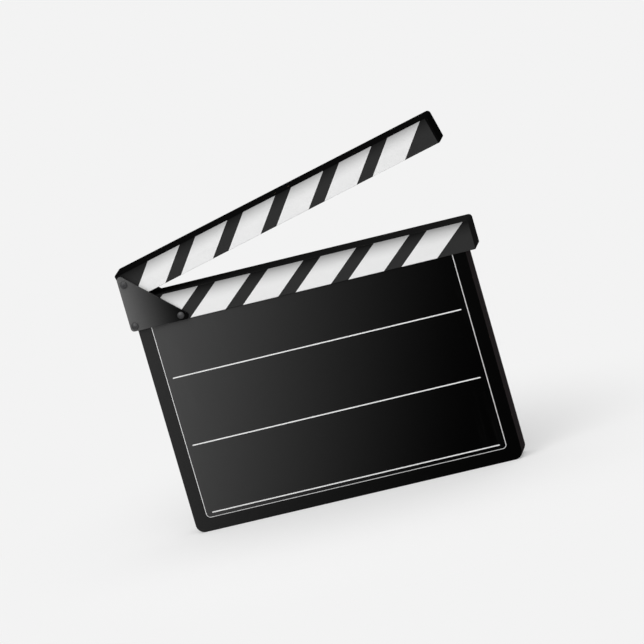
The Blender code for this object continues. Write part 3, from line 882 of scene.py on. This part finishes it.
def makePlateSteel():
    material, tree, skin = newMaterial("plateSteel", plates["gloss"], plates["roughness"])
    hands = useGroup(tree, handlingGroup, plates["handling"])
    peel = useGroup(tree, skinGroup, plates["sprayedSkin"])
    worn = useGroup(tree, rubbedGroup, plates["rubbedEdge"])
    drawn = {"Vector": ownPlace(tree), "Rotation": (0.0, plates["brushTurn"], 0.0),
             "Scale": (plates["brushPace"], 1.0, 1.0)}
    brushed = noise(tree, put(tree, "Mapping", drawn).outputs[0], Scale=plates["brushFineness"])
    lines = spread(tree, brushed, 0.0, plates["brushShare"])
    toned = blendColours(tree, lines, sheenedColour(tree, plates), inLinear(*plates["brushTone"]))
    colour = blendColours(tree, worn["Mask"], toned, inLinear(*plates["rubbed"]))
    height = blendHeights(tree, brushed, plates["brushHeight"], peel["Height"], plates["peelHeight"])
    rough = uneven(tree, hands["Patches"], plates["roughness"])
    wire(tree, skin, colour, rough, height, plates["bump"])
    return material


def makePlate(name, node, material):
    low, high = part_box(node)
    left, foot, radius = stickLow.x, stickLow.z, plates["cornerRound"]
    outline = roundedOutline([(left, foot, radius), (left + plates["width"], foot, radius),
                              (left, foot + plates["height"], radius)])
    eases = (plates["ease"], 0) if low.y < 0 else (0, plates["ease"])  # only on the outer face
    piece = toObject(easedSlab(outline, low.y, high.y, *eases), name)
    for spot in (pivotSpot, heelSpot, toeSpot):
        bore(piece, holeRadius, spot, low.y, high.y)
    piece.data.materials.append(material)
    finishPiece(piece, "slate", node)


makeBoard()
makePanel()
print("board and panel ready")
makeLowerStick()
makeUpperStick()
print("clapsticks ready")
plateSteel = makePlateSteel()
makePlate("frontPlate", "front_hinge_plate", plateSteel)
makePlate("rearPlate", "rear_hinge_plate", plateSteel)
postSteel, screwZinc, bushBrass = (makeTurnedMetal(name) for name in metals)
for name in posts["slotTurns"]:
    makeBarrel(name + "Barrel", name + "_barrel", postSteel)
for name, slotTurn in posts["slotTurns"].items():
    makePostScrew(name + "Screw", name + "_screw", slotTurn, screwZinc)
for node, slotTurn in boardScrews["slotTurns"].items():
    makeBoardScrew("boardScrew" + node[-1], node, slotTurn, screwZinc)
washerFibre = makeFibre()
makeRing("pivotBush", "pivot_bush", bushBrass)
makeRing("frontFrictionWasher", "front_friction_washer", washerFibre)
makeRing("rearFrictionWasher", "rear_friction_washer", washerFibre)
makeSpringWasher("pivotSpringWasher", "pivot_spring_washer", screwZinc)
print("hinge ready")


# floor, light and camera

studio = {
    "paper": (243, 243, 243),          # backdrop and floor as the camera sees them
    "floorWhite": (240, 240, 240), "floorGloss": 0.0, "floorRoughness": 0.9,
    "floorRadius": 14.0, "floorSides": 96,
    "fadeFrom": 0.12, "fadeTo": 0.34,  # metres from the middle over which the floor becomes backdrop
    "lift": 0.35,                      # share of the glow in the middle, which keeps the shadow light
    "ambient": 0.28,
    # each lamp: direction from the object (azimuth, elevation), distance, side length, watts
    "lamps": {
        "leftSoftbox": (-32, 34, 1.8, 1.4, 11.6),
        "frontFill": (14, 24, 2.8, 2.0, 12.6),
        "overhead": (0, 84, 2.4, 3.0, 46.0),
    },
}
view = {
    # lens and sensor in millimetres, angles in degrees, and the rest in metres
    # aside and above move the camera in its own picture plane and don't turn it
    "lens": 400.0, "sensor": 36.0, "nearest": 0.1, "farthest": 60.0,
    "azimuth": 12.0, "elevation": 12.5, "roll": -16.10, "distance": 5.962,
    "aim": (0.0, 0.0, 0.13), "aside": 0.0016, "above": 0.0208,
}


def seenByCamera(tree):
    # 1 for what the camera sees, also in a mirror or through glass, and 0 for the light that things get
    rays = put(tree, "LightPath").outputs
    seen = calc(tree, "MAXIMUM", rays["Is Camera Ray"], rays["Is Glossy Ray"])
    return calc(tree, "MAXIMUM", seen, rays["Is Transmission Ray"])


def makeFloor():
    mesh = bmesh.new()
    sides, radius = studio["floorSides"], studio["floorRadius"]
    bmesh.ops.create_circle(mesh, cap_ends=True, segments=sides, radius=radius)
    floor = toObject(mesh, "studioFloor")
    material, tree, skin = newMaterial("floorPaper", studio["floorGloss"], studio["floorRoughness"])
    skin.inputs["Base Color"].default_value = inLinear(*studio["floorWhite"])
    away = put(tree, "VectorMath", {0: ownPlace(tree)}, operation="LENGTH").outputs["Value"]
    backdrop = rise(tree, away, studio["fadeFrom"], studio["fadeTo"])
    share = calc(tree, "MULTIPLY", seenByCamera(tree), spread(tree, backdrop, studio["lift"], 1.0))
    glow = put(tree, "Emission", {"Color": inLinear(*studio["paper"])})
    mix = put(tree, "MixShader", {0: share, 1: skin.outputs[0], 2: glow.outputs[0]})
    tree.links.new(mix.outputs[0], tree.nodes["Material Output"].inputs["Surface"])
    floor.data.materials.append(material)


def makeWorld():
    world = bpy.data.worlds.new("studioAir")
    world.use_nodes = True
    scene.world = world
    tree = world.node_tree
    tree.nodes.clear()
    lit = put(tree, "Background", {"Color": (1, 1, 1, 1), "Strength": studio["ambient"]})
    shown = put(tree, "Background", {"Color": inLinear(*studio["paper"]), "Strength": 1.0})
    mix = put(tree, "MixShader", {0: seenByCamera(tree), 1: lit.outputs[0], 2: shown.outputs[0]})
    tree.links.new(mix.outputs[0], put(tree, "OutputWorld").inputs["Surface"])


def outwards(azimuth, elevation):
    # direction away from the object; azimuth 0 is straight in front, and grows to the right
    turn, tilt = math.radians(azimuth), math.radians(elevation)
    return Vector((math.sin(turn) * math.cos(tilt), -math.cos(turn) * math.cos(tilt), math.sin(tilt)))


def makeLamps():
    for name, (azimuth, elevation, distance, side, watts) in studio["lamps"].items():
        lamp = bpy.data.lights.new(name, "AREA")
        lamp.shape, lamp.size, lamp.energy = "SQUARE", side, watts
        holder = bpy.data.objects.new(name, lamp)
        scene.collection.objects.link(holder)
        away = outwards(azimuth, elevation)
        holder.location = Vector(view["aim"]) + away * distance
        holder.rotation_mode = "QUATERNION"
        holder.rotation_quaternion = away.to_track_quat("Z", "Y")
        holder.visible_camera = False


def makeCamera():
    camera = bpy.data.cameras.new("camera")
    camera.sensor_width, camera.lens = view["sensor"], view["lens"]
    camera.clip_start, camera.clip_end = view["nearest"], view["farthest"]
    holder = bpy.data.objects.new("camera", camera)
    scene.collection.objects.link(holder)
    turn, roll = math.radians(view["azimuth"]), math.radians(view["roll"])
    back = outwards(view["azimuth"], view["elevation"])
    level = Vector((math.cos(turn), math.sin(turn), 0))
    up = back.cross(level)
    right = level * math.cos(roll) + up * math.sin(roll)
    up = up * math.cos(roll) - level * math.sin(roll)
    place = Vector(view["aim"]) + back * view["distance"] + right * view["aside"] + up * view["above"]
    holder.matrix_world = Matrix.Translation(place) @ Matrix((right, up, back)).transposed().to_4x4()
    scene.camera = holder


makeFloor()
makeWorld()
makeLamps()
makeCamera()
scene.view_settings.view_transform = "Standard"
print("studio ready")
